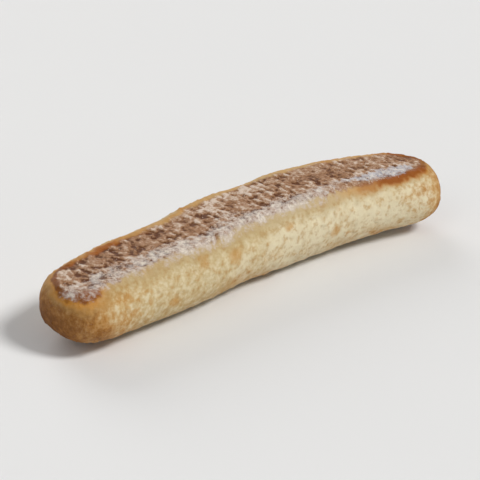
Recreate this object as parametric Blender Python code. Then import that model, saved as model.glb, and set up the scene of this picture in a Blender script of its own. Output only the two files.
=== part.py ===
"""Demi baguette, one closed solid, lying on its crown with the flat base on top.

Metres, +Z up. The long axis runs along X, and the origin is the middle of the
box at table height. The loaf is a sausage with blunt round ends, flattened
where it was baked on a tray, gently bent sideways and along its base, and it
rests on a small flat spot of its crown.
"""

import math

import bmesh
import bpy

# Driving dimensions of the loaf. The flat spot that it rests on is REST_CUT
# taken off the crown's lowest line.
LENGTH = 0.250
WIDTH = 0.048
HEIGHT = 0.039
BASE_WIDTH = 0.029
BASE_DEPTH = 0.0155
REST_CUT = 0.0007
CROWN_DEPTH = HEIGHT + REST_CUT - BASE_DEPTH

# Round ends: how much of the length each one takes, and how blunt it is.
LEFT_END = 0.024
RIGHT_END = 0.023
END_POWER = 2.6
BASE_END_POWER = 0.75
CROWN_END_POWER = 1.05

# Cross section: the power of the curve above and below the widest line.
FLANK_POWER = 2.2
CROWN_POWER = 2.25
BASE_EDGE_ROUNDING = 0.0010

# The loaf turns at one place along its length, sideways and along its base.
BEND_PLACE = 0.33
BEND_SPREAD = 0.22
SIDE_TURN = math.radians(13.0)
BASE_TURN = math.radians(7.5)

# Uneven dough: the taper towards the ends, slow swellings and a wandering axis.
WIDTH_TAPER = 0.06
CROWN_LIFT = 0.0044
SWELL = 0.014
SWELL_WAVES = 1.5
SWELL_PHASE = -1.1
WANDER = 0.0006
WANDER_WAVES = 3.1
WANDER_PHASE = 2.0

# Mesh density: rings along the loaf and corners round it.
RINGS = 75
CORNERS = 48

CRUST_COLOUR = (0.62, 0.47, 0.27, 1.0)
CRUST_ROUGHNESS = 0.62


def clear_scene():
    for thing in list(bpy.data.objects):
        bpy.data.objects.remove(thing, do_unlink=True)


def soft_min(a, b, rounding):
    """The smaller of two heights, with the corner between them rounded off."""
    low = min(a, b)
    gap = abs(a - b) / rounding
    return low - rounding * math.log(1.0 + math.exp(-gap))


def end_fullness(s):
    """1 along the body of the loaf, down to 0 at its tips (s is -1 to 1)."""
    end = LEFT_END if s < 0.0 else RIGHT_END
    into_end = (abs(s) * LENGTH / 2.0 - (LENGTH / 2.0 - end)) / end
    into_end = min(max(into_end, 0.0), 1.0)
    return (1.0 - into_end ** END_POWER) ** (1.0 / END_POWER)


def bend(s):
    """Offset of the axis for a turn of one radian, zero at both tips."""

    def arm(reach):
        return math.hypot(reach, BEND_SPREAD)

    right = arm(1.0 - BEND_PLACE)
    left = arm(1.0 + BEND_PLACE)
    chord = (right + left) / 2.0 + s * (right - left) / 2.0
    return (chord - arm(s - BEND_PLACE)) * LENGTH / 4.0


def swell(s):
    """Slow change of girth along the loaf."""
    return 1.0 + SWELL * math.sin(math.pi * SWELL_WAVES * s + SWELL_PHASE)


def wander(s):
    """Small sideways drift of the axis."""
    return WANDER * math.sin(math.pi * WANDER_WAVES * s + WANDER_PHASE)


def power_curve(value, power):
    return math.copysign(abs(value) ** (2.0 / power), value)


def flank_height():
    """Height that the flank's curve would reach if the base weren't flattened."""
    base_share = BASE_WIDTH / WIDTH
    return BASE_DEPTH / (1.0 - base_share ** FLANK_POWER) ** (1.0 / FLANK_POWER)


def section_point(s, angle):
    """One point of the cross section at s, before the loaf is set down."""
    full = end_fullness(s)
    taper = 1.0 - WIDTH_TAPER * s * s
    half_width = WIDTH / 2.0 * full * taper * swell(s)
    axis_y = SIDE_TURN * bend(s) + wander(s)
    base_dip = BASE_TURN * (bend(s) - bend(BEND_PLACE))
    across = math.cos(angle)
    up = math.sin(angle)
    if up >= 0.0:
        y = half_width * power_curve(across, FLANK_POWER)
        z = flank_height() * full ** BASE_END_POWER * power_curve(up, FLANK_POWER)
        z = soft_min(z, BASE_DEPTH, BASE_EDGE_ROUNDING) + base_dip
    else:
        depth = CROWN_DEPTH * swell(s) + base_dip - CROWN_LIFT * s * s
        y = half_width * power_curve(across, CROWN_POWER)
        z = depth * full ** CROWN_END_POWER * power_curve(up, CROWN_POWER) + base_dip
    return y + axis_y, z


def add_rings(mesh):
    """Rings of corners along the loaf, closer together towards the tips."""
    rings = []
    for ring_number in range(1, RINGS + 1):
        s = math.sin(math.pi * (ring_number / (RINGS + 1) - 0.5))
        ring = []
        for corner_number in range(CORNERS):
            angle = 2.0 * math.pi * corner_number / CORNERS
            y, z = section_point(s, angle)
            ring.append(mesh.verts.new((s * LENGTH / 2.0, y, z)))
        rings.append(ring)
    return rings


def add_skin(mesh, rings):
    """Quads between the rings, and a fan over each tip."""
    for ring, next_ring in zip(rings, rings[1:]):
        for corner in range(CORNERS):
            after = (corner + 1) % CORNERS
            mesh.faces.new(
                (ring[corner], next_ring[corner], next_ring[after], ring[after])
            )
    for s, ring in ((-1.0, rings[0]), (1.0, rings[-1])):
        y, z = section_point(s, 0.0)
        tip = mesh.verts.new((s * LENGTH / 2.0, y, z))
        for corner in range(CORNERS):
            after = (corner + 1) % CORNERS
            mesh.faces.new((tip, ring[corner], ring[after]))
    bmesh.ops.recalc_face_normals(mesh, faces=mesh.faces)


def set_down(mesh):
    """Flatten the rest spot at height zero and centre the loaf's box on it."""
    lowest = min(vert.co.z for vert in mesh.verts)
    middle = [
        (min(vert.co[k] for vert in mesh.verts) + max(vert.co[k] for vert in mesh.verts)) / 2.0
        for k in (0, 1)
    ]
    for vert in mesh.verts:
        vert.co.x -= middle[0]
        vert.co.y -= middle[1]
        vert.co.z = max(vert.co.z - lowest - REST_CUT, 0.0)


def crust_material():
    material = bpy.data.materials.new("crust")
    material.use_nodes = True
    surface = material.node_tree.nodes["Principled BSDF"]
    surface.inputs["Base Color"].default_value = CRUST_COLOUR
    surface.inputs["Roughness"].default_value = CRUST_ROUGHNESS
    surface.inputs["Metallic"].default_value = 0.0
    return material


def make_loaf():
    mesh = bmesh.new()
    rings = add_rings(mesh)
    add_skin(mesh, rings)
    set_down(mesh)
    data = bpy.data.meshes.new("loaf")
    mesh.to_mesh(data)
    mesh.free()
    data.shade_smooth()
    data.materials.append(crust_material())
    loaf = bpy.data.objects.new("loaf", data)
    bpy.context.scene.collection.objects.link(loaf)
    return loaf


clear_scene()
make_loaf()
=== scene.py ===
import itertools
import math

import bpy
import numpy as np
from mathutils import Matrix, Vector


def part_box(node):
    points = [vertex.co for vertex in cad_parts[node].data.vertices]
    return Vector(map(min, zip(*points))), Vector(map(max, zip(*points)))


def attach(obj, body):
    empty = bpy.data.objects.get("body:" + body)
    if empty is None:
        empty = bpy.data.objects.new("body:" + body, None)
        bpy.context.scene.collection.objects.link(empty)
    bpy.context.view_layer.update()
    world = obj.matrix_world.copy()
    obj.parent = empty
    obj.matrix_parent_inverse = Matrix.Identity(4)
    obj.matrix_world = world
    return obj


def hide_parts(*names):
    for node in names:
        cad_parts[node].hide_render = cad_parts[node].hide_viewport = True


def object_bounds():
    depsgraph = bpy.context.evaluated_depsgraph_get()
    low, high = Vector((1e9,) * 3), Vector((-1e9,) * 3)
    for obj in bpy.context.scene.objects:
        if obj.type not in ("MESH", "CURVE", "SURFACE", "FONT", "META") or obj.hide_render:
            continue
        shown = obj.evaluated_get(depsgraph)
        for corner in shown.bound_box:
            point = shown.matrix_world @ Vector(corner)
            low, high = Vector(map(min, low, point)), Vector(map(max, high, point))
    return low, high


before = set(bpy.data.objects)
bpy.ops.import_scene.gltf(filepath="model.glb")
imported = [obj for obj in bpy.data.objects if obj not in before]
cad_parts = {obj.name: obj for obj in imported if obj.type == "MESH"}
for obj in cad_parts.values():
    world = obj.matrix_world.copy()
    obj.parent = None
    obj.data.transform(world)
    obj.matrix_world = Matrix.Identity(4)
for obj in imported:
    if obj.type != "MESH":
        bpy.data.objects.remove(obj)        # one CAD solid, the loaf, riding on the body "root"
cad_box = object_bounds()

# ---------------------------------------------------------------------------
# Sizes of the loaf in millimetres, the same as the CAD solid's
# ---------------------------------------------------------------------------

LENGTH = 250.0
WIDTH = 48.0
HEIGHT = 39.0
BASE_WIDTH = 29.0
BASE_DEPTH = 15.5
REST_CUT = 0.7
CROWN_DEPTH = HEIGHT + REST_CUT - BASE_DEPTH

LEFT_END = 24.0
RIGHT_END = 23.0
END_POWER = 2.6
BASE_END_POWER = 0.75
CROWN_END_POWER = 1.05

FLANK_POWER = 2.2
CROWN_POWER = 2.25
BASE_EDGE_ROUNDING = 1.0

BEND_PLACE = 0.33
BEND_SPREAD = 0.22
SIDE_TURN = math.radians(13.0)
BASE_TURN = math.radians(7.5)

WIDTH_TAPER = 0.06
CROWN_LIFT = 4.4
SWELL = 0.014
SWELL_WAVES = 1.5
SWELL_PHASE = -1.1
WANDER = 0.6
WANDER_WAVES = 3.1
WANDER_PHASE = 2.0

# Mesh of the crust: rings along the loaf and corners round it. The crust is first
# measured in FINE_STEPS, so that both are evenly spread over it.
RINGS = 422
CORNERS = 234
FINE_STEPS = 6001
METRE = 0.001

# ---------------------------------------------------------------------------
# Relief of the crust, millimetres
# ---------------------------------------------------------------------------

NOISE_SEED = 7
CRUST_SEED = 41

# Lumps of the dough, as (size, height). They are lower on the base by BASE_CALM.
LUMPS = ((42.0, 0.62), (17.0, 0.30), (7.0, 0.17), (3.4, 0.09))
BASE_CALM = 0.6
WRINKLE_SIZE = (2.4, 8.0, 8.0)
WRINKLE_HEIGHT = 0.10
BLISTERS = 620
BLISTER_RADIUS = (0.7, 2.4)
BLISTER_HEIGHT = 0.32
PORES = 420
PORE_RADIUS = (0.6, 1.2)
PORE_DEPTH = 0.36

# The base sinks a little inside its edge, which is a raised lip and wobbles. The
# wobbles are (size, height).
BASE_SINK = 0.45
LIP_HEIGHT = 0.30
LIP_WIDTH = 1.6
EDGE_WOBBLES = ((9.0, 1.1), (3.2, 0.7))

# How far the browning reaches over the base's edge, or stops short of it.
NEAR_OUTSET = 2.6
LEFT_OUTSET = 2.2
RIGHT_INSET = 3.4
FAR_INSET = 1.8

# Print of the baking tray: dashes across the base, in rows along the loaf. Their
# irregularities repeat after LUCK_ROWS rows and LUCK_COLUMNS dashes.
DASH_PITCH = 4.4
DASH_REACH = 6.0
DASH_HALF_LENGTH = 1.2
DASH_RADIUS = 1.5
DASH_HEIGHT = 0.62
DASH_BEND = 0.9
DASHES_MISSING = 0.12
LUCK_ROWS = 97
LUCK_COLUMNS = 89
WORM_SIZE = (2.4, 3.6, 3.6)
PIT_SIZE = (2.6, 3.2, 3.2)
PIT_DEPTH = 0.42
BASE_GRAIN_SIZE = 1.9
BASE_GRAIN_HEIGHT = 0.13
RIPPLE_HEIGHT = 0.10
RIPPLE_REACH = 11.0
# Along the loaf, the base's relief and colour grow calmer over this stretch.
CALM_STRETCH = (38.0, 82.0)

# A fold of the dough on the far flank: along the loaf, and round it from the base's middle.
CREASE_START = (-103.0, 22.0)
CREASE_END = (-60.0, 34.0)
CREASE_ARCH = 3.4
CREASE_WOBBLE = 1.5
CREASE_DEPTH = 1.5
CREASE_WIDTH = 1.1
CREASE_LIP = 0.8

# ---------------------------------------------------------------------------
# Where the crust is toasted, pale or frosted, millimetres
# ---------------------------------------------------------------------------

# Stretches along the loaf. Over them the left end turns brown (counted to the left),
# the right end turns golden, and the flanks turn paler and then less pale again. Both
# ends are darker towards the bottom, partly toast and partly painted shade.
LEFT_TOAST = (44.0, 130.0)
RIGHT_TOAST = (91.0, 117.0)
PALER_STRETCH = (-62.0, 30.0)
PALE_END = (101.0, 115.0)

# Faint toasted blotches of the near flank, as (along the loaf, round it, radius).
FLANK_BLOTCHES = (
    (-25.0, -27.5, 8.5),
    (-45.0, -23.0, 7.0),
    (16.0, -26.0, 4.5),
    (-66.0, -37.0, 5.5),
    (48.0, -38.0, 6.0),
    (40.0, -21.5, 5.5),
)
# Paler and darker areas of the base, as (along the loaf, across it, half length, half width, shade).
BASE_PATCHES = (
    (-10.0, 8.5, 42.0, 6.0, 0.62),
    (22.0, 8.0, 10.0, 5.0, -0.14),
    (-58.0, 4.0, 20.0, 4.0, -0.20),
    (-88.0, -1.0, 36.0, 3.5, 0.32),
    (-24.0, 4.0, 8.0, 2.8, -0.28),
    (1.0, -4.0, 17.0, 7.0, 0.36),
    (17.0, -6.5, 6.0, 3.0, -0.22),
    (37.0, -8.0, 18.0, 5.0, 0.28),
    (42.0, 9.0, 12.0, 4.0, 0.30),
    (57.0, -3.0, 14.0, 3.0, -0.16),
    (80.0, 1.0, 12.0, 4.0, -0.16),
    (112.0, 5.0, 7.0, 5.5, -0.42),
    (112.0, -7.0, 6.0, 3.0, 0.35),
)
# How far the pale haze, partly frosted and partly painted sheen, reaches into the base
# from its near edge, as (along the loaf, reach).
HAZE_REACH = (
    (-115.0, 9.5),
    (-97.0, 14.5),
    (-80.0, 10.0),
    (-58.0, 7.0),
    (-40.0, 9.5),
    (-20.0, 10.0),
    (0.0, 10.0),
    (22.0, 5.0),
    (42.0, 8.5),
)
HAZE_FADE = 4.5
HAZE_END = (36.0, 66.0)
# The pale bluish streak at the right end, partly frosted and partly a painted reflection:
# its place inside the near edge, and the stretches over which it comes and goes.
STREAK_PLACE = 6.0
STREAK_RISE = (34.0, 74.0)
STREAK_END = (104.0, 115.0)

CROWN_SPOTS = 190
CROWN_SPOT_RADIUS = (1.0, 5.5)
# How far the outlines of spots, blisters and pores stray from round.
OUTLINE_WARP = 0.9

# Loose grains of flour and frost: lumpy, flattened, and strewn round their places.
GRAINS = 2600
GRAIN_SEED = 97
GRAIN_PATCH_SEED = 23
GRAIN_PATCH_SIZE = 12.0
GRAIN_RADIUS = (0.09, 0.27)
GRAIN_STRETCH = (0.6, 1.3)
GRAIN_LUMPS = (0.7, 1.3)
GRAIN_FLATNESS = 0.65
GRAIN_STRAY = 0.3

# ---------------------------------------------------------------------------
# Camera and light
# ---------------------------------------------------------------------------

CAMERA_AZIMUTH = -45.0
CAMERA_ELEVATION = 26.0
CAMERA_ROLL = 4.0
CAMERA_DISTANCE = 1.45
CAMERA_WIDTH_SEEN = 0.236
SENSOR = 36.0
FLOOR_SIZE = 60.0

# Lamps, as (name, azimuth, elevation, width in degrees, strength, colour).
LAMPS = (
    ("key", 34.0, 50.0, 18.0, 2.2, (1.0, 0.985, 0.955)),
    ("fill", -75.0, 40.0, 30.0, 0.3, (1.0, 0.985, 0.96)),
    ("back", 164.0, 27.0, 40.0, 1.15, (1.0, 0.98, 0.95)),
)


def smooth_step(value, low, high):
    """0 below low, 1 above high, and a smooth rise between them."""
    t = np.clip((value - low) / (high - low), 0.0, 1.0)
    return t * t * (3.0 - 2.0 * t)


class Lumps:
    """Repeatable smooth noise through space, about -1 to 1."""

    CELLS = 64

    def __init__(self, seed):
        dice = np.random.default_rng(seed)
        self.table = dice.uniform(-1.0, 1.0, (self.CELLS,) * 3)
        # Turned out of line with the loaf, so that no lump has straight sides.
        self.turn = np.linalg.qr(dice.normal(size=(3, 3)))[0]

    def __call__(self, points, size):
        """Noise at points, whose lumps are size across (one number or three)."""
        scaled = points / np.asarray(size, float)
        return 0.72 * self.layer(scaled) + 0.42 * self.layer(1.9 * scaled + 40.0)

    def layer(self, scaled):
        """One layer of noise, whose lumps are 1 across."""
        scaled = scaled @ self.turn + 200.0
        cell = np.floor(scaled).astype(int)
        part = scaled - cell
        part = part * part * (3.0 - 2.0 * part)
        total = np.zeros(scaled.shape[:-1])
        for corner in itertools.product((0, 1), repeat=3):
            weight = np.ones(scaled.shape[:-1])
            for axis in range(3):
                share = part[..., axis]
                weight = weight * (share if corner[axis] else 1.0 - share)
            at = (cell + np.array(corner)) % self.CELLS
            total += weight * self.table[at[..., 0], at[..., 1], at[..., 2]]
        return total * 1.6


# ---------------------------------------------------------------------------
# The loaf's form
# ---------------------------------------------------------------------------


def soft_min(a, b, rounding):
    """The smaller of two heights, with the corner between them rounded off."""
    gap = np.abs(a - b) / rounding
    return np.minimum(a, b) - rounding * np.log1p(np.exp(-gap))


def end_fullness(s):
    """1 along the body of the loaf, down to 0 at its tips (s is -1 to 1)."""
    end = np.where(s < 0.0, LEFT_END, RIGHT_END)
    into_end = np.clip((np.abs(s) * LENGTH / 2.0 - (LENGTH / 2.0 - end)) / end, 0.0, 1.0)
    return (1.0 - into_end ** END_POWER) ** (1.0 / END_POWER)


def bend(s):
    """Offset of the axis for a turn of one radian, zero at both tips."""
    right = math.hypot(1.0 - BEND_PLACE, BEND_SPREAD)
    left = math.hypot(1.0 + BEND_PLACE, BEND_SPREAD)
    chord = (right + left) / 2.0 + s * (right - left) / 2.0
    return (chord - np.hypot(s - BEND_PLACE, BEND_SPREAD)) * LENGTH / 4.0


def swell(s):
    """Slow change of girth along the loaf."""
    return 1.0 + SWELL * np.sin(math.pi * SWELL_WAVES * s + SWELL_PHASE)


def axis_side(s):
    """Sideways place of the loaf's axis."""
    wander = WANDER * np.sin(math.pi * WANDER_WAVES * s + WANDER_PHASE)
    return SIDE_TURN * bend(s) + wander


def base_dip(s):
    """How far the bend lowers the base."""
    return BASE_TURN * (bend(s) - bend(BEND_PLACE))


def half_width(s):
    """From the loaf's axis to its widest line."""
    return WIDTH / 2.0 * end_fullness(s) * (1.0 - WIDTH_TAPER * s * s) * swell(s)


def power_curve(value, power):
    """The sine or cosine of a superellipse: a power of 2 leaves it round."""
    return np.copysign(np.abs(value) ** (2.0 / power), value)


def flank_curve(s, up):
    """Height that the flank's curve would have if the base weren't flattened."""
    base_share = BASE_WIDTH / WIDTH
    full_height = BASE_DEPTH / (1.0 - base_share ** FLANK_POWER) ** (1.0 / FLANK_POWER)
    return full_height * end_fullness(s) ** BASE_END_POWER * power_curve(up, FLANK_POWER)


def plain_loaf(s, angle):
    """Points of the loaf without its relief, before it is set down."""
    across = np.cos(angle)
    up = np.sin(angle)
    dip = base_dip(s)
    above = up >= 0.0
    power = np.where(above, FLANK_POWER, CROWN_POWER)
    y = half_width(s) * power_curve(across, power) + axis_side(s)
    base_z = soft_min(flank_curve(s, np.maximum(up, 0.0)), BASE_DEPTH, BASE_EDGE_ROUNDING)
    depth = CROWN_DEPTH * swell(s) + dip - CROWN_LIFT * s * s
    crown_z = depth * end_fullness(s) ** CROWN_END_POWER * power_curve(up, CROWN_POWER)
    z = np.where(above, base_z, crown_z) + dip
    return np.stack([s * LENGTH / 2.0, y, z], axis=-1)


def even_places(path_of, fine, count):
    """Count places at even distances along the path that path_of gives for the fine ones."""
    path = path_of(fine)
    steps = np.linalg.norm(np.diff(path, axis=0), axis=1)
    travelled = np.concatenate([[0.0], np.cumsum(steps)])
    return np.interp(np.linspace(0.0, travelled[-1], count), travelled, fine)


def loaf_grid():
    """Stations along the loaf and angles round it, evenly spread over the crust."""

    def outline(s):
        return np.stack([s * LENGTH / 2.0, half_width(s)], axis=-1)

    def girth(angle):
        return plain_loaf(np.zeros_like(angle), angle)

    # Closer together towards the tips, where the loaf's width changes fast.
    fine_stations = np.sin(np.linspace(-math.pi / 2.0, math.pi / 2.0, FINE_STEPS))
    stations = even_places(outline, fine_stations, RINGS + 2)[1:-1]
    # The seam is under the crown, where the angle is -90 degrees.
    fine_angles = np.linspace(-0.5, 1.5, FINE_STEPS) * math.pi
    angles = even_places(girth, fine_angles, CORNERS + 1)[:-1]
    return stations, angles


def grid_normals(points):
    """Outward directions on a grid that closes on itself round the loaf."""
    along = np.gradient(points, axis=0)
    around = (np.roll(points, -1, axis=1) - np.roll(points, 1, axis=1)) / 2.0
    normal = np.cross(around, along)
    return normal / np.maximum(np.linalg.norm(normal, axis=-1, keepdims=True), 1e-9)


class Surface:
    """The crust as a grid: places on it, what lies there and how far it is pushed out."""

    def __init__(self):
        self.stations, self.angles = loaf_grid()
        s, angle = np.meshgrid(self.stations, self.angles, indexing="ij")
        self.s = s
        self.points = plain_loaf(s, angle)
        self.normals = grid_normals(self.points)
        self.side = self.points[..., 1] - axis_side(s)
        self.up = np.sin(angle)
        self.round = self.distance_round()
        self.share_round = np.abs(self.round) / np.abs(self.round).max(axis=1, keepdims=True)
        self.into_base = self.distance_into_base()
        self.noise = Lumps(NOISE_SEED)
        # The points nudged to all sides: distances between them give uneven outlines.
        sway = [self.noise(self.points + shift, 3.0) for shift in (11.0, 53.0, 97.0)]
        self.warped = self.points + OUTLINE_WARP * np.stack(sway, axis=-1)

    def distance_round(self):
        """Distance round the crust from the base's middle, negative on the near side."""
        after = np.roll(self.points, -1, axis=1)
        steps = np.linalg.norm(after - self.points, axis=-1)
        travelled = np.cumsum(steps, axis=1) - steps
        top = np.argmin(np.abs(self.angles - math.pi / 2.0))
        return travelled[:, top : top + 1] - travelled

    def distance_into_base(self):
        """Distance inside the flat base's edge, negative outside it."""
        share = np.minimum(BASE_DEPTH / flank_curve(self.s, 1.0), 1.0)
        edge = half_width(self.s) * (1.0 - share ** FLANK_POWER) ** (1.0 / FLANK_POWER)
        turn = np.gradient(edge[:, 0], self.points[:, 0, 0])[:, None]
        inside = (edge - np.abs(self.side)) / np.hypot(1.0, turn)
        # Outside the edge, the drop below the base over how steep the crust is there.
        upper = flank_curve(self.s, np.maximum(self.up, 0.0))
        below = self.points[..., 2] - base_dip(self.s)
        height = np.where(self.up >= 0.0, upper, below) - BASE_DEPTH
        along = np.gradient(height, axis=0) / self.spacing(0)
        around = np.roll(height, -1, axis=1) - np.roll(height, 1, axis=1)
        around = around / 2.0 / self.spacing(1)
        outside = height / np.maximum(np.hypot(along, around), 0.12)
        return np.where(height > 0.0, np.maximum(inside, 0.0), np.maximum(outside, -20.0))

    def spacing(self, axis):
        """Distance between neighbours of the grid, along the loaf or round it."""
        if axis == 0:
            step = np.gradient(self.points, axis=0)
        else:
            step = (np.roll(self.points, -1, axis=1) - np.roll(self.points, 1, axis=1)) / 2.0
        return np.maximum(np.linalg.norm(step, axis=-1), 1e-3)


def scatter(surface, dice, count, density):
    """Places picked at random on the crust, more of them where the density is higher."""
    weight = (density * surface.spacing(0) * surface.spacing(1)).reshape(-1)
    return dice.choice(weight.size, count, p=weight / weight.sum())


def sizes_between(dice, count, smallest, largest, power):
    """Random sizes, most of them near the smallest."""
    return smallest + (largest - smallest) * dice.random(count) ** power


def nearest_place(surface, along, round_it):
    """The place at a distance along the loaf and round it."""
    away = np.abs(surface.points[..., 0] - along) + np.abs(surface.round - round_it)
    return int(np.argmin(away))


def marks(surface, places, radii, softness=0.75):
    """Marks with uneven outlines round the given places: 1 in the middle, 0 outside."""
    total = np.zeros(surface.s.shape)
    along = surface.points[:, 0, 0]
    flat = surface.warped.reshape(-1, 3)
    for place, radius in zip(places, radii):
        middle = surface.points.reshape(-1, 3)[place]
        reach = radius + 2.0 * OUTLINE_WARP
        first, last = np.searchsorted(along, (middle[0] - reach, middle[0] + reach))
        away = np.linalg.norm(surface.warped[first:last] - flat[place], axis=-1) / radius
        total[first:last] = np.maximum(total[first:last], smooth_step(1.0 - away, 0.0, softness))
    return total


def dash_print(surface, dice):
    """Raised dashes that the tray printed across the base, 0 between them and 1 on top."""
    x = surface.points[..., 0] + DASH_BEND * surface.noise(surface.points, 5.0)
    side = surface.side + 2.0 * DASH_BEND * surface.noise(surface.points + 17.0, 7.0)
    row = np.floor(x / DASH_PITCH).astype(int)
    place = (side + (row % 2) * DASH_REACH / 2.0) / DASH_REACH
    column = np.floor(place).astype(int)
    luck = dice.uniform(-1.0, 1.0, (LUCK_ROWS, LUCK_COLUMNS, 5))
    luck = luck[row % LUCK_ROWS, column % LUCK_COLUMNS]
    u = x - (row + 0.5) * DASH_PITCH + 0.5 * luck[..., 0]
    v = (place - column - 0.5) * DASH_REACH + 0.8 * luck[..., 1]
    u = u + 0.20 * luck[..., 2] * v
    half_length = DASH_HALF_LENGTH * (1.0 + 0.6 * luck[..., 3])
    away = np.hypot(u, np.maximum(np.abs(v) - half_length, 0.0))
    size = np.where(luck[..., 4] < 2.0 * DASHES_MISSING - 1.0, 0.0, 0.65 + 0.35 * luck[..., 4])
    lattice = size * smooth_step(DASH_RADIUS - away, 0.0, DASH_RADIUS)
    worms = surface.noise(surface.points + 31.0, WORM_SIZE)
    return np.clip(lattice + 0.4 * smooth_step(worms, 0.30, 0.75), 0.0, 1.0)


def crease(surface):
    """A fold in the dough of the far flank: 1 in its groove, and 1 along its lip."""
    start = np.array(CREASE_START)
    run = np.array(CREASE_END) - start
    here = np.stack([surface.points[..., 0], surface.round], axis=-1) - start
    share = np.clip((here @ run) / (run @ run), 0.0, 1.0)
    arch = CREASE_ARCH * np.sin(math.pi * share)
    across = np.array((-run[1], run[0])) / np.linalg.norm(run)
    past_ends = np.linalg.norm(here - share[..., None] * run, axis=-1)
    offset = np.where((share > 0.0) & (share < 1.0), here @ across, past_ends) - arch
    offset = offset + CREASE_WOBBLE * surface.noise(surface.points, 9.0)
    fade = np.sin(math.pi * share) ** 0.6
    groove = fade * np.exp(-((offset / CREASE_WIDTH) ** 2))
    past_groove = np.abs(offset + 0.6) - 2.6 * CREASE_WIDTH
    lip = fade * np.exp(-((past_groove / (1.7 * CREASE_WIDTH)) ** 2))
    return groove, lip


def edge_browning(surface):
    """How brown the crust is along the base's edge: most at both ends, and least on the near left."""
    x = surface.points[..., 0]
    far_side = (0.52 + 0.24 * smooth_step(-x, 20.0, 90.0)) * smooth_step(surface.side, -2.0, 8.0)
    near_right = smooth_step(x, 24.0, 100.0) * smooth_step(-surface.side, 0.0, 6.0)
    left_end = smooth_step(-x, 98.0, 116.0)
    strength = np.maximum(np.maximum(far_side, near_right), left_end)
    right_tip = smooth_step(x, 104.0, 114.0)
    strength = np.maximum(np.maximum(strength, right_tip), 0.15)
    return strength * (0.9 + 0.3 * surface.noise(surface.points, 15.0))


def end_toast_and_shade(surface):
    """How toasted the two ends are: the left one brown, the right one golden, both darker towards the
    bottom, partly painted shade.
    """
    x = surface.points[..., 0]
    lower = smooth_step(-surface.points[..., 2], -12.0, 14.0)
    far_side = smooth_step(surface.side, -14.0, 16.0)
    mottle = surface.noise(surface.points, 12.0) + 0.5 * surface.noise(surface.points, 4.0)
    left = smooth_step(-x + 6.5 * mottle, *LEFT_TOAST) ** 1.8
    # Darker towards the bottom: partly toast, partly painted shade.
    left *= 0.60 + 0.42 * lower + 0.16 * far_side
    # A paler patch on the near flank, close to the left end.
    off_patch = ((x + 96.0) / 15.0) ** 2 + ((surface.round + 28.5) / 4.5) ** 2
    left *= 1.0 - 0.45 * np.exp(-off_patch)
    # The left tip darker still towards the bottom, partly painted shade.
    left += 0.15 * smooth_step(-x + 4.0 * mottle, 104.0, 123.0) * lower
    # The right end, darker towards the bottom, partly painted shade.
    right = 0.90 * smooth_step(x + 8.0 * mottle, *RIGHT_TOAST) * (0.60 + 0.32 * lower)
    right += 0.12 * smooth_step(x + 4.0 * mottle, 112.0, 126.0)
    return np.maximum(left, right)


def base_shade(surface):
    """Broad paler and darker areas of the base."""
    x = surface.points[..., 0] + 5.0 * surface.noise(surface.points, 16.0)
    side = surface.side + 2.5 * surface.noise(surface.points + 7.0, 12.0)
    total = np.zeros(x.shape)
    for along, across, half_length, half_breadth, shade in BASE_PATCHES:
        away = ((x - along) / half_length) ** 2 + ((side - across) / half_breadth) ** 2
        total += shade * np.exp(-away)
    return total


def frost_and_sheen_places(surface, into_base):
    """Pale haze over the base's near side and a bluish streak at the right end: partly frosted,
    partly painted sheen and reflection.
    """
    x = surface.points[..., 0]
    near_side = smooth_step(-surface.side, -5.0, 5.0)
    drift = surface.noise(surface.points, (16.0, 7.0, 7.0))
    specks = surface.noise(surface.points, (2.2, 3.6, 3.6))
    reach = np.interp(x, *zip(*HAZE_REACH)) + 3.0 * drift
    band = near_side * (1.0 - smooth_step(into_base, reach - HAZE_FADE, reach + HAZE_FADE))
    band *= smooth_step(into_base, -6.0, 1.0) * (1.0 - smooth_step(x, *HAZE_END))
    band *= 1.0 - 0.25 * smooth_step(-x, 102.0, 114.0)
    strength = 0.74 + 0.06 * smooth_step(x, -62.0, -42.0)
    # The haze: partly frosted, partly painted sheen.
    haze = band * (strength + 0.20 * drift + 0.35 * specks)
    # The streak: partly frosted, partly a painted reflection.
    width = 2.0 + 2.0 * smooth_step(x, 62.0, 92.0) + 0.5 * drift
    along = smooth_step(x, *STREAK_RISE) * (1.0 - smooth_step(x, *STREAK_END))
    streak = near_side * along * np.exp(-((into_base - STREAK_PLACE) / width) ** 2)
    return np.clip(np.maximum(haze, streak * (1.0 + 0.25 * specks)), 0.0, 1.0)


def browning_outset(surface):
    """How far the browning reaches over the base's edge, apart from the far side's inset."""
    x = surface.points[..., 0]
    middle = smooth_step(x, -80.0, -20.0) * (1.0 - smooth_step(x, 70.0, 105.0))
    near_side = smooth_step(-surface.side, 0.0, 8.0)
    outset = (NEAR_OUTSET * middle - RIGHT_INSET * smooth_step(x, 102.0, 114.0)) * near_side
    return outset + LEFT_OUTSET * smooth_step(-x, 102.0, 117.0)


def pale_flanks(surface):
    """Where the flanks are paler, 0 to 1: from the loaf's middle almost to its right tip."""
    x = surface.points[..., 0]
    drift = 10.0 * surface.noise(surface.points + 29.0, 30.0)
    fading = 0.85 * smooth_step(x, *PALE_END)
    return smooth_step(x + drift, *PALER_STRETCH) * (1.0 - fading)


def dough_relief(surface, on_base):
    """Height of the dough itself: its lumps, and fine wrinkles off the base."""
    points = surface.points
    relief = np.zeros(points.shape[:-1])
    for size, height in LUMPS:
        relief += height * surface.noise(points + 3.0 * size, size) * (1.0 - BASE_CALM * on_base)
    wrinkles = surface.noise(points, WRINKLE_SIZE)
    wrinkles = wrinkles + 0.6 * surface.noise(points + 40.0, np.array(WRINKLE_SIZE) / 2.0)
    return relief + WRINKLE_HEIGHT * wrinkles * (1.0 - on_base)


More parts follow.
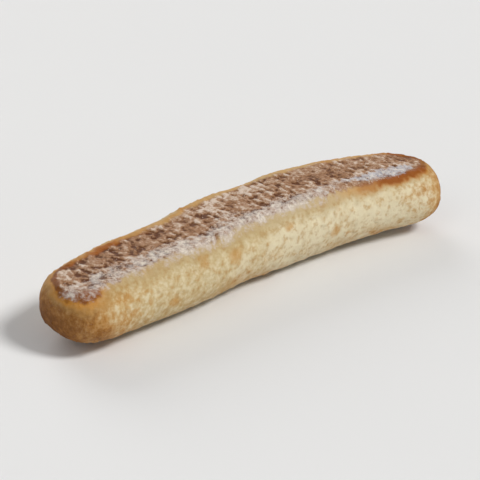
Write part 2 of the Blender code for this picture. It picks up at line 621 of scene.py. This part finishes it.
def edge_ripples(surface, into_base, off_base):
    """Ripples along the outside of the base's edge, as far apart as the dashes, -1 to 1."""
    points = surface.points
    near_base = smooth_step(into_base, -RIPPLE_REACH, -1.0) * off_base
    bent_x = points[..., 0] + 1.4 * surface.noise(points, 8.0)
    ripples = near_base * np.sin(2.0 * math.pi * bent_x / DASH_PITCH)
    return ripples * smooth_step(surface.noise(points + 9.0, 18.0), -0.4, 0.5)


def blisters_and_pores(surface, dice, off_base):
    """Blisters in some areas of the crust and pores in the others, both 0 to 1."""
    patches = smooth_step(surface.noise(surface.points + 61.0, 20.0), -0.5, 0.5)
    blistered = scatter(surface, dice, BLISTERS, off_base * (0.15 + patches))
    blisters = marks(surface, blistered, sizes_between(dice, BLISTERS, *BLISTER_RADIUS, 2.2))
    porous = scatter(surface, dice, PORES, off_base * (1.15 - patches))
    pores = marks(surface, porous, sizes_between(dice, PORES, *PORE_RADIUS, 2.0))
    return blisters, pores


def tray_print(surface, dice, into_base, on_base, calm):
    """What the tray left on the base: raised dashes and the pits between them, 0 to 1."""
    points = surface.points
    clusters = smooth_step(surface.noise(points, (26.0, 15.0, 15.0)), -0.8, 0.2)
    dashes = dash_print(surface, dice) * (0.55 + 0.45 * clusters) * (1.0 - 0.15 * calm)
    dashes *= smooth_step(into_base, -2.8, 1.5)
    pits = smooth_step(surface.noise(points + 77.0, PIT_SIZE), -0.10, 0.50)
    pits = pits * (1.0 - dashes) * on_base
    pits *= 1.0 - 0.25 * calm
    return dashes, pits


def flank_blotches(surface):
    """The faint blotches of the near flank, 0 to 1."""
    places = [nearest_place(surface, x, round_it) for x, round_it, _ in FLANK_BLOTCHES]
    radii = [radius for _, _, radius in FLANK_BLOTCHES]
    return marks(surface, places, radii, 1.0)


def toasted_crown(surface, dice, off_base):
    """The golden areas of the crown, and toasted spots that are mostly in them."""
    crown = smooth_step(surface.share_round, 0.52, 0.72)
    crown *= smooth_step(surface.noise(surface.points + 83.0, (30.0, 22.0, 22.0)), -0.4, 0.5)
    spotted = scatter(surface, dice, CROWN_SPOTS, crown + 0.006 * off_base)
    radii = sizes_between(dice, CROWN_SPOTS, *CROWN_SPOT_RADIUS, 2.4)
    return crown, marks(surface, spotted, radii, 1.0)


def shape_crust(surface):
    """Push the crust out into its relief, and note what each place of it is."""
    dice = np.random.default_rng(CRUST_SEED)
    noise = surface.noise
    points = surface.points
    wobble = sum(height * noise(points, size) for size, height in EDGE_WOBBLES)
    into_base = surface.into_base + wobble
    on_base = smooth_step(into_base, -0.5, 2.5)
    off_base = 1.0 - on_base
    calm = smooth_step(points[..., 0] + 9.0 * noise(points + 5.0, 14.0), *CALM_STRETCH)

    ripples = edge_ripples(surface, into_base, off_base)
    blisters, pores = blisters_and_pores(surface, dice, off_base)
    dashes, pits = tray_print(surface, dice, into_base, on_base, calm)
    groove, lip = crease(surface)
    blotches = flank_blotches(surface)
    crown, toast = toasted_crown(surface, dice, off_base)
    outset = browning_outset(surface)
    pale_side = pale_flanks(surface)

    relief = dough_relief(surface, on_base)
    relief += RIPPLE_HEIGHT * ripples
    relief += BLISTER_HEIGHT * blisters
    relief -= PORE_DEPTH * pores
    relief += DASH_HEIGHT * dashes - PIT_DEPTH * pits
    relief += BASE_GRAIN_HEIGHT * noise(points, BASE_GRAIN_SIZE) * on_base
    relief -= BASE_SINK * smooth_step(into_base, 0.5, 6.0)
    relief += LIP_HEIGHT * np.exp(-(((into_base + 0.4) / LIP_WIDTH) ** 2))
    relief += CREASE_LIP * lip - CREASE_DEPTH * groove
    surface.points = points + surface.normals * relief[..., None]
    return {
        "into_base": into_base + outset - FAR_INSET * smooth_step(surface.side, 0.0, 8.0),
        "dashes": dashes,
        "pits": pits,
        "calm": calm,
        "toast": toast,
        # The far flank's golden tint is painted warm light on that shaded side; the crown's is toast.
        "golden": np.maximum(crown, 0.45 * smooth_step(surface.side, 2.0, 22.0) * off_base),
        "blotch": blotches,
        "blister": blisters,
        "pore": pores,
        "ripple": ripples,
        "fold": groove,
        "fold_lip": lip,
        "browning": edge_browning(surface),
        # The ends' toast, with painted shade towards their bottoms.
        "end": end_toast_and_shade(surface),
        "frost_and_sheen": frost_and_sheen_places(surface, into_base + outset),
        # Pale haze and streak of the base: partly frosted, partly painted sheen and reflection.
        "shade": base_shade(surface),
        "pale_side": pale_side,
        "share_round": surface.share_round,
    }


def set_down(points):
    """The same place and rest spot as the CAD solid, in metres."""
    low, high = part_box("loaf")
    middle = (np.array(low) + np.array(high)) / 2.0 / METRE
    plain = plain_loaf(*np.meshgrid(*loaf_grid(), indexing="ij")).reshape(-1, 3)
    plain_middle = (plain.min(axis=0) + plain.max(axis=0)) / 2.0
    moved = points.copy()
    moved[..., 0] += middle[0] - plain_middle[0]
    moved[..., 1] += middle[1] - plain_middle[1]
    moved[..., 2] = np.maximum(moved[..., 2] - plain[:, 2].min() - REST_CUT, 0.0)
    return moved * METRE


def make_mesh(name, points, faces):
    """A piece with smooth shading, from its corners in metres and its faces."""
    mesh = bpy.data.meshes.new(name)
    mesh.from_pydata(points.tolist(), [], faces)
    mesh.update()
    mesh.shade_smooth()
    piece = bpy.data.objects.new(name, mesh)
    bpy.context.scene.collection.objects.link(piece)
    return piece


def make_loaf(placed, notes):
    """The loaf's mesh: quads over the grid and a fan over each tip."""
    rings, corners = placed.shape[:2]
    ring, corner = np.meshgrid(np.arange(rings - 1), np.arange(corners), indexing="ij")
    after = (corner + 1) % corners
    quads = np.stack(
        [
            ring * corners + corner,
            ring * corners + after,
            (ring + 1) * corners + after,
            (ring + 1) * corners + corner,
        ],
        axis=-1,
    ).reshape(-1, 4)
    tips = np.stack([placed[0].mean(axis=0), placed[-1].mean(axis=0)])
    left_tip = rings * corners
    faces = quads.tolist()
    last = (rings - 1) * corners
    for k in range(corners):
        following = (k + 1) % corners
        faces.append((left_tip, following, k))
        faces.append((left_tip + 1, last + k, last + following))
    loaf = make_mesh("loaf_crust", np.concatenate([placed.reshape(-1, 3), tips]), faces)
    for name, value in notes.items():
        ends = [value[0].mean(), value[-1].mean()]
        layer = loaf.data.attributes.new(name, "FLOAT", "POINT")
        layer.data.foreach_set("value", np.append(value.reshape(-1), ends).astype(np.float32))
    wrap_map(loaf, rings, corners)
    return loaf


def wrap_map(loaf, rings, corners):
    """A texture map that unrolls the crust: along the loaf, and round it."""
    layer = loaf.data.uv_layers.new(name="OFBake")
    count = len(loaf.data.loops)
    vertex = np.zeros(count, int)
    loaf.data.loops.foreach_get("vertex_index", vertex)
    u = (vertex // corners + 1.0) / (rings + 1.0)
    v = (vertex % corners) / corners
    tip = vertex >= rings * corners
    u[tip] = vertex[tip] - rings * corners
    start = np.zeros(len(loaf.data.polygons), int)
    total = np.zeros(len(loaf.data.polygons), int)
    loaf.data.polygons.foreach_get("loop_start", start)
    loaf.data.polygons.foreach_get("loop_total", total)
    for first, size in zip(start, total):
        own = slice(first, first + size)
        if v[own][~tip[own]].max() - v[own][~tip[own]].min() > 0.5:
            v[own] = np.where(v[own] < 0.5, v[own] + 1.0, v[own])
        if tip[own].any():
            v[own] = np.where(tip[own], v[own][~tip[own]].mean(), v[own])
    layer.data.foreach_set("uv", np.stack([u, v], axis=-1).astype(np.float32).reshape(-1))


def grain_shape():
    """Corners and outward faces of a round shape with twenty faces and radius 1."""
    golden = (1.0 + math.sqrt(5.0)) / 2.0
    corners = np.array([(0.0, a, b * golden) for a in (-1, 1) for b in (-1, 1)])
    corners = np.concatenate([np.roll(corners, k, axis=1) for k in range(3)])
    corners = corners / np.linalg.norm(corners[0])
    near = np.linalg.norm(corners[:, None] - corners[None], axis=-1) < 1.1
    faces = []
    for a, b, c in itertools.combinations(range(len(corners)), 3):
        if near[a, b] and near[b, c] and near[a, c]:
            normal = np.cross(corners[b] - corners[a], corners[c] - corners[a])
            outward = np.dot(normal, corners[a]) > 0.0
            faces.append((a, b, c) if outward else (a, c, b))
    return corners, np.array(faces)


def make_grains(surface, placed, notes):
    """Loose grains on the base, most of them in the pale haze and on the dashes, in one piece."""
    dice = np.random.default_rng(GRAIN_SEED)
    likely = 0.03 + notes["frost_and_sheen"] + 0.35 * notes["dashes"]
    likely = likely * smooth_step(notes["into_base"], -1.0, 2.0)
    patches = Lumps(GRAIN_PATCH_SEED)(surface.points, GRAIN_PATCH_SIZE)
    chosen = scatter(surface, dice, GRAINS, likely * smooth_step(patches, -1.0, 0.9))
    stray = dice.uniform(-GRAIN_STRAY, GRAIN_STRAY, (GRAINS, 3)) * (METRE, METRE, 0.0)
    centres = placed.reshape(-1, 3)[chosen] + stray
    radii = sizes_between(dice, GRAINS, *GRAIN_RADIUS, 2.0)

    corners, faces = grain_shape()
    stretch = dice.uniform(*GRAIN_STRETCH, (GRAINS, 1, 3))
    stretch[..., 2] *= GRAIN_FLATNESS
    lumps = dice.uniform(*GRAIN_LUMPS, (GRAINS, len(corners), 1))
    turn = dice.uniform(0.0, 2.0 * math.pi, (GRAINS, 1))
    shape = corners[None] * stretch * lumps * radii[:, None, None] * METRE
    x = shape[..., 0] * np.cos(turn) - shape[..., 1] * np.sin(turn)
    y = shape[..., 0] * np.sin(turn) + shape[..., 1] * np.cos(turn)
    shape = np.stack([x, y, shape[..., 2]], axis=-1)
    points = (centres[:, None] + shape).reshape(-1, 3)
    all_faces = faces[None] + len(corners) * np.arange(GRAINS)[:, None, None]
    return make_mesh("flour_grains", points, all_faces.reshape(-1, 3).tolist())


# ---------------------------------------------------------------------------
# Finishes
# ---------------------------------------------------------------------------


def tone(red, green, blue):
    """A colour from its 0 to 255 screen values, as light."""

    def light(value):
        value = value / 255.0
        return value / 12.92 if value <= 0.04045 else ((value + 0.055) / 1.055) ** 2.4

    return (light(red), light(green), light(blue), 1.0)


class Value:
    """A number that varies over a surface. Arithmetic on it adds Math nodes."""

    def __init__(self, nodes, socket):
        self.nodes = nodes
        self.socket = socket

    def math(self, operation, *others):
        """The result of a Math node on this value and others."""
        values = dict(enumerate((self, *others)))
        return self.nodes.add("ShaderNodeMath", {"operation": operation}, values)

    def __add__(self, other):
        return self.math("ADD", other)

    def __sub__(self, other):
        return self.math("SUBTRACT", other)

    def __rsub__(self, other):
        return (self * -1.0).math("ADD", other)

    def __mul__(self, other):
        return self.math("MULTIPLY", other)

    __radd__ = __add__
    __rmul__ = __mul__

    def rise(self, low, high):
        """0 below low, 1 above high, and a smooth rise between them."""
        values = {"Value": self, "From Min": low, "From Max": high}
        return self.nodes.add("ShaderNodeMapRange", {"interpolation_type": "SMOOTHSTEP"}, values)

    def fall(self, low, high):
        """1 below low, 0 above high, and a smooth fall between them."""
        return 1.0 - self.rise(low, high)


class Nodes:
    """The nodes of one material or of the world."""

    def __init__(self, tree):
        self.tree = tree

    def add(self, kind, settings=None, values=None, out=0):
        """A node with its settings, then the values or links of its sockets."""
        made = self.tree.nodes.new(kind)
        for name, setting in (settings or {}).items():
            setattr(made, name, setting)
        self.fill(made, values or {})
        return Value(self, made.outputs[out])

    def fill(self, made, values):
        """Link or set the sockets of a node."""
        for name, value in values.items():
            if isinstance(value, Value):
                self.tree.links.new(value.socket, made.inputs[name])
            else:
                made.inputs[name].default_value = value

    def noted(self, name):
        """What the mesh says about each place under that name."""
        return self.add("ShaderNodeAttribute", {"attribute_name": name}, out="Fac")

    def noise(self, size, detail, rough=0.55, stretch=(1.0, 1.0, 1.0)):
        """Noise from 0 to 1 whose lumps are size millimetres across."""
        place = self.add("ShaderNodeTexCoord", out="Object")
        scale = tuple(1.0 / (size * METRE * k) for k in stretch)
        at = self.add("ShaderNodeVectorMath", {"operation": "MULTIPLY"}, {0: place, 1: scale})
        values = {"Vector": at, "Scale": 1.0, "Detail": detail, "Roughness": rough}
        return self.add("ShaderNodeTexNoise", None, values)

    def blend(self, mask, under, over):
        """Colour under with colour over laid on it where the mask is 1."""
        sockets = {0: mask, 6: under, 7: over}
        return self.add("ShaderNodeMix", {"data_type": "RGBA"}, sockets, out=2)

    def bump(self, height, distance, strength):
        """Relief too fine for the mesh: distance is its depth in millimetres."""
        values = {"Height": height, "Distance": distance * METRE, "Strength": strength}
        return self.add("ShaderNodeBump", None, values, out="Normal")


def new_finish(name):
    """A material, its nodes and its shader."""
    material = bpy.data.materials.new(name)
    material.use_nodes = True
    return material, Nodes(material.node_tree), material.node_tree.nodes["Principled BSDF"]


CREAM = tone(204, 185, 144)
PALE_CREAM = tone(225, 213, 181)
STRAW = tone(192, 164, 112)
TAN = tone(180, 144, 90)
EDGE_STRAW = tone(170, 146, 98)
GOLD = tone(190, 140, 68)
# Toast colours: also painted shade at the bottoms of the ends, at their rims and in the fold's
# groove.
TOAST_AND_SHADE = tone(156, 97, 28)
DARK_TOAST_AND_SHADE = tone(100, 57, 16)
MARGIN = tone(204, 136, 40)
DARK_MARGIN = tone(146, 76, 6)
BASE_BROWN = tone(146, 106, 73)
BASE_RUST = tone(163, 122, 91)
BASE_DARK = tone(94, 52, 25)
BASE_PALE = tone(184, 156, 132)
FLECK = tone(218, 200, 186)
# Frosted haze of the base, partly painted sheen; the bluish one is partly a painted reflection.
FROST_AND_SHEEN = tone(211, 202, 196)
COLD_FROST_AND_REFLECTION = tone(188, 196, 212)
# The flour colour also gives the haze its whitest spots, partly painted sheen.
FLOUR_AND_SHEEN = tone(238, 230, 216)
FLOOR = tone(228, 229, 231)
FLOOR_LIGHT = tone(230, 231, 233)
HORIZON = tone(230, 230, 229)
CEILING = tone(124, 123, 121)


def flank_colour(nodes, grain):
    """Cream crust, drifting to straw, with toasted spots and paler dust."""
    broad, middling, patchy, fine, grit = grain
    pale_side = nodes.noted("pale_side")
    paler = broad + (pale_side - 0.5) * 0.5
    colour = nodes.blend(paler.rise(0.38, 0.72), CREAM, PALE_CREAM)
    colour = nodes.blend(middling.rise(0.42, 0.66) * (0.42 - pale_side * 0.20), colour, STRAW)
    lower = (nodes.noted("share_round") + middling * 0.30).rise(0.58, 1.12)
    colour = nodes.blend(lower * 0.50, colour, TAN)
    marks = patchy + fine * 0.45
    strength = 0.66 - pale_side * 0.18
    colour = nodes.blend(marks.rise(0.70, 0.96) * strength, colour, TAN)
    colour = nodes.blend(marks.fall(0.54, 0.74) * 0.50, colour, PALE_CREAM)
    # Golden on the crown is toast; on the far flank it is painted warm light in the shade.
    colour = nodes.blend(nodes.noted("golden") * middling.rise(0.30, 0.60) * 0.45, colour, GOLD)

    faint = nodes.noted("blotch") + (fine - 0.5) * 0.5 + (middling - 0.5) * 0.6
    colour = nodes.blend(faint.rise(0.00, 1.10) * 0.74, colour, GOLD)
    spot = nodes.noted("toast") + (fine - 0.5) * 0.8 + (middling - 0.5) * 0.6
    colour = nodes.blend(spot.rise(0.05, 0.70) * 0.60, colour, GOLD)
    colour = nodes.blend(spot.rise(0.50, 1.20) * 0.60, colour, TOAST_AND_SHADE)
    colour = nodes.blend(nodes.noted("blister") * broad.rise(0.40, 0.62) * 0.34, colour, GOLD)
    colour = nodes.blend(nodes.noted("pore") * 0.40, colour, TAN)

    # Toasted ends, darker towards the bottom with painted shade.
    end = nodes.noted("end") + (fine - 0.5) * 0.7 + (patchy - 0.5) * 0.8
    colour = nodes.blend(end.rise(0.00, 0.60) * 0.72, colour, GOLD)
    colour = nodes.blend(end.rise(0.25, 1.00) * 0.80, colour, TOAST_AND_SHADE)
    colour = nodes.blend(end.rise(0.62, 1.35) * 0.80, colour, DARK_TOAST_AND_SHADE)
    # Painted shade in the fold's groove, in a toast colour.
    colour = nodes.blend(nodes.noted("fold").rise(0.15, 0.9) * 0.65, colour, TOAST_AND_SHADE)
    colour = nodes.blend(nodes.noted("fold_lip") * 0.45, colour, PALE_CREAM)
    colour = nodes.blend(nodes.noted("ripple").rise(0.0, 1.0) * 0.30, colour, PALE_CREAM)

    freckles = grit.rise(0.64, 0.78) * fine.rise(0.45, 0.70)
    colour = nodes.blend(freckles * 0.42, colour, TAN)
    dust = (grit * 0.6 + broad * 0.6).rise(0.62, 0.90) * (1.0 - nodes.noted("end") * 0.8)
    return nodes.blend(dust * 0.30, colour, FLOUR_AND_SHEEN)


def base_colour(nodes, grain):
    """Browned base: dark in its pits, pale on the tray's dashes, calmer at the right end."""
    broad, middling, patchy, fine, grit = grain
    shade = 0.34 + (broad - 0.5) * 0.6 + (middling - 0.5) * 1.1 + (patchy - 0.5) * 0.5
    shade = shade + (fine - 0.5) * 2.0 + (grit - 0.5) * 0.8
    shade = shade + nodes.noted("calm") * 0.20 + nodes.noted("shade")
    shade = shade + nodes.noted("dashes") * 0.80 - nodes.noted("pits") * 0.56
    colour = nodes.blend(shade.rise(-0.10, 0.28), BASE_DARK, BASE_BROWN)
    colour = nodes.blend(shade.rise(0.22, 0.52), colour, BASE_RUST)
    colour = nodes.blend(shade.rise(0.45, 0.80), colour, BASE_PALE)
    return nodes.blend(shade.rise(0.70, 1.10) * 0.90, colour, FLECK)


def make_crust_finish():
    """Baked crust: cream flanks, toasted crown, and the browned base with its margin."""
    material, nodes, shader = new_finish("crust")
    broad = nodes.noise(24.0, detail=4.0)
    middling = nodes.noise(6.0, detail=4.0, stretch=(1.3, 1.0, 1.0))
    patchy = nodes.noise(3.2, detail=2.0)
    fine = nodes.noise(1.7, detail=4.0, rough=0.65)
    grit = nodes.noise(0.7, detail=2.0)
    grain = (broad, middling, patchy, fine, grit)

    into_base = nodes.noted("into_base")
    browning = nodes.noted("browning")
    calm = nodes.noted("calm")
    fray = ((middling - 0.5) * 4.0 + (fine - 0.5) * 1.8) * (1.0 - calm * 0.6)
    edge = into_base + fray + nodes.noted("ripple") * 0.7
    colour = flank_colour(nodes, grain)
    colour = nodes.blend(edge.rise(calm * 3.0 - 9.0, -3.0) * 0.62, colour, EDGE_STRAW)
    margin = edge.rise(calm * 2.2 - 7.5, -1.2)
    colour = nodes.blend(margin * browning * 0.90, colour, MARGIN)
    base = edge.rise(-1.0, 1.2)
    colour = nodes.blend(base, colour, base_colour(nodes, grain))
    # The rim turns dark brown at the ends, partly painted shade.
    rim = edge.rise(-4.0, -1.6) * (1.0 - edge.rise(0.5, 2.3))
    rim_colour = nodes.blend(nodes.noted("end").rise(0.35, 0.80) * 0.75, DARK_MARGIN, DARK_TOAST_AND_SHADE)
    colour = nodes.blend(rim * browning.rise(0.45, 0.85) * 0.95, colour, rim_colour)
    # The base's pale haze and streak: partly frosted, partly painted sheen and reflection.
    frost_and_sheen = nodes.noted("frost_and_sheen")
    broken = (patchy - 0.5) * 1.5 + (fine - 0.5) * 1.6 + (grit - 0.5) * 0.8
    haze = frost_and_sheen + broken * frost_and_sheen.rise(0.0, 0.4)
    frost_and_sheen_tint = nodes.blend(calm, FROST_AND_SHEEN, COLD_FROST_AND_REFLECTION)
    colour = nodes.blend(haze.rise(0.10, 1.10) * 0.72, colour, frost_and_sheen_tint)
    colour = nodes.blend(haze.rise(0.90, 1.30) * 0.60, colour, FLOUR_AND_SHEEN)

    skin = nodes.noise(0.95, detail=5.0, rough=0.7)
    rough = 0.70 - base * 0.10 + (fine - 0.5) * 0.20 - margin * browning * 0.06
    nodes.fill(
        shader,
        {
            "Base Color": colour,
            "Roughness": rough,
            "Normal": nodes.bump(skin + fine * 0.6 + grit * 0.35, 0.42, 0.85),
            "Specular IOR Level": 0.25,
        },
    )
    return material


def make_flour_finish():
    """Dull off-white flour."""
    material, nodes, shader = new_finish("flour")
    shade = nodes.noise(1.2, detail=2.0)
    colour = nodes.blend(shade.rise(0.3, 0.7), FLOUR_AND_SHEEN, FLECK)
    nodes.fill(shader, {"Base Color": colour, "Roughness": 0.82 + shade * 0.1})
    return material


def make_floor_finish():
    """Plain matt floor, pale and almost even."""
    material, nodes, shader = new_finish("pale_floor")
    shade = nodes.noise(160.0, detail=2.0)
    colour = nodes.blend(shade, FLOOR, FLOOR_LIGHT)
    nodes.fill(shader, {"Base Color": colour, "Roughness": 0.8, "Specular IOR Level": 0.1})
    return material


# ---------------------------------------------------------------------------
# Floor, light and camera
# ---------------------------------------------------------------------------


def direction(azimuth, elevation):
    """Where something stands round the loaf: azimuth 0 is in front, at -Y."""
    a = math.radians(azimuth)
    e = math.radians(elevation)
    return Vector((math.sin(a) * math.cos(e), -math.cos(a) * math.cos(e), math.sin(e)))


def make_floor():
    """A pale floor that reaches to the horizon."""
    corners = np.array([(-1.0, -1.0, 0.0), (1.0, -1.0, 0.0), (1.0, 1.0, 0.0), (-1.0, 1.0, 0.0)])
    corners *= FLOOR_SIZE / 2.0
    floor = make_mesh("floor", corners, [(0, 1, 2, 3)])
    floor.data.materials.append(make_floor_finish())


def make_room():
    """A pale room: bright at the horizon, where it meets the floor, and darker above."""
    world = bpy.data.worlds.new("pale_room")
    world.use_nodes = True
    nodes = Nodes(world.node_tree)
    towards = nodes.add("ShaderNodeTexCoord", out="Generated")
    up = nodes.add("ShaderNodeSeparateXYZ", None, {0: towards}, out="Z")
    colour = nodes.blend(up.rise(0.06, 0.45), HORIZON, CEILING)
    nodes.fill(world.node_tree.nodes["Background"], {"Color": colour, "Strength": 1.0})
    bpy.context.scene.world = world


def make_lamp(name, azimuth, elevation, width, strength, colour):
    """A broad soft light from far away, width degrees across."""
    data = bpy.data.lights.new(name, "SUN")
    data.angle = math.radians(width)
    data.energy = strength
    data.color = colour
    lamp = bpy.data.objects.new(name, data)
    towards = direction(azimuth, elevation)
    lamp.location = towards
    lamp.rotation_euler = towards.to_track_quat("Z", "Y").to_euler()
    bpy.context.scene.collection.objects.link(lamp)


def make_light():
    """The room's even light, and the lamps."""
    make_room()
    for lamp in LAMPS:
        make_lamp(*lamp)


def make_camera():
    """The camera, aimed at the loaf's middle and rolled a little."""
    middle = (Vector(cad_box[0]) + Vector(cad_box[1])) / 2.0
    data = bpy.data.cameras.new("camera")
    data.sensor_width = SENSOR
    data.lens = SENSOR * CAMERA_DISTANCE / CAMERA_WIDTH_SEEN
    camera = bpy.data.objects.new("camera", data)
    towards = direction(CAMERA_AZIMUTH, CAMERA_ELEVATION)
    camera.location = middle + towards * CAMERA_DISTANCE
    turn = towards.to_track_quat("Z", "Y").to_matrix().to_4x4()
    roll = Matrix.Rotation(math.radians(CAMERA_ROLL), 4, "Z")
    camera.rotation_euler = (turn @ roll).to_euler()
    bpy.context.scene.collection.objects.link(camera)
    bpy.context.scene.camera = camera


def main():
    surface = Surface()
    notes = shape_crust(surface)
    placed = set_down(surface.points)
    loaf = make_loaf(placed, notes)
    loaf.data.materials.append(make_crust_finish())
    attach(loaf, "root")
    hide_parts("loaf")

    grains = make_grains(surface, placed, notes)
    grains.data.materials.append(make_flour_finish())
    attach(grains, "root")

    make_floor()
    make_light()
    make_camera()
    bpy.context.scene.view_settings.view_transform = "Standard"


main()
